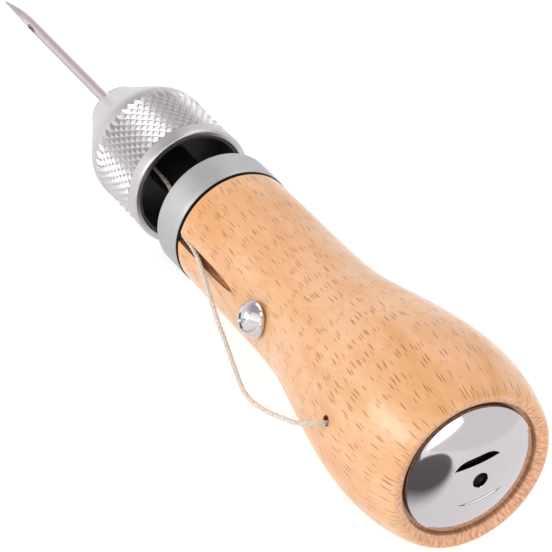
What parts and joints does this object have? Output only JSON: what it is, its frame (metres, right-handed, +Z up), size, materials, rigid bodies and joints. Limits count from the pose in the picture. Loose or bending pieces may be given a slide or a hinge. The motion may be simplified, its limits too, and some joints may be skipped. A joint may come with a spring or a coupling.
{
  "type": "sewing awl",
  "caption": "Lock-stitch sewing awl: wooden bulb handle with a bobbin inside, thread loop, tension screw, knurled needle chuck and domed screw cap.",
  "frame": {"origin": "on the awl's axis, at the middle of the front collar", "axes": "+X along the awl towards the needle's point, +Y the side where the thread and the tension screw are, +Z up"},
  "size_m": [0.1712, 0.0407, 0.035],
  "materials": {
    "beech": "lacquered",
    "collar_steel": "satin",
    "black_steel": "blackened",
    "needle_steel": "ground",
    "polished_steel": "polished",
    "aluminium": "knurled",
    "black_plastic": "moulded",
    "bobbin_steel": "stamped",
    "collet_steel": "turned",
    "brass": "turned",
    "thread": "waxed"
  },
  "bodies": {
    "handle": {"wooden_handle": "beech", "front_collar": "collar_steel", "front_plate": "black_steel", "tension_screw": "polished_steel", "cap_socket": "brass", "bobbin_spindle": "collet_steel", "thread_feed": "thread", "thread_loop": "thread", "thread_lead": "thread", "needle_post": "black_steel"},
    "collet": {"collet": "collet_steel"},
    "chuck": {"chuck_sleeve": "aluminium", "chuck_insert": "black_plastic"},
    "needle": {"needle": "needle_steel"},
    "washer": {"cap_washer": "black_plastic"},
    "cap": {"end_cap": "polished_steel"},
    "bobbin": {"bobbin_core": "bobbin_steel", "bobbin_flange_rear": "bobbin_steel", "bobbin_flange_front": "bobbin_steel", "thread_package": "thread"}
  },
  "joints": [
    {"name": "collet_travel", "type": "slide", "parent": "handle", "child": "collet", "axis": [1, 0, 0], "range_m": [0, 0.00656]},
    {"name": "chuck_turn", "type": "hinge", "parent": "collet", "child": "chuck", "pos_m": [0.03, 0, 0], "axis": [1, 0, 0], "range_deg": [0, 1890]},
    {"name": "needle_withdraw", "type": "slide", "parent": "collet", "child": "needle", "axis": [1, 0, 0], "range_m": [0, 0.015]},
    {"name": "cap_travel", "type": "slide", "parent": "handle", "child": "washer", "axis": [-1, 0, 0], "range_m": [0, 0.00562]},
    {"name": "cap_turn", "type": "hinge", "parent": "washer", "child": "cap", "pos_m": [-0.081, 0, 0], "axis": [-1, 0, 0], "range_deg": [0, 1350]},
    {"name": "bobbin_spin", "type": "hinge", "parent": "handle", "child": "bobbin", "pos_m": [-0.06, 0, 0], "axis": [1, 0, 0], "continuous": true}
  ],
  "couplings": [
    {"joint": "collet_travel", "follows": "chuck_turn", "m_per_rad": 0.00019894},
    {"joint": "cap_travel", "follows": "cap_turn", "m_per_rad": 0.00023873}
  ]
}
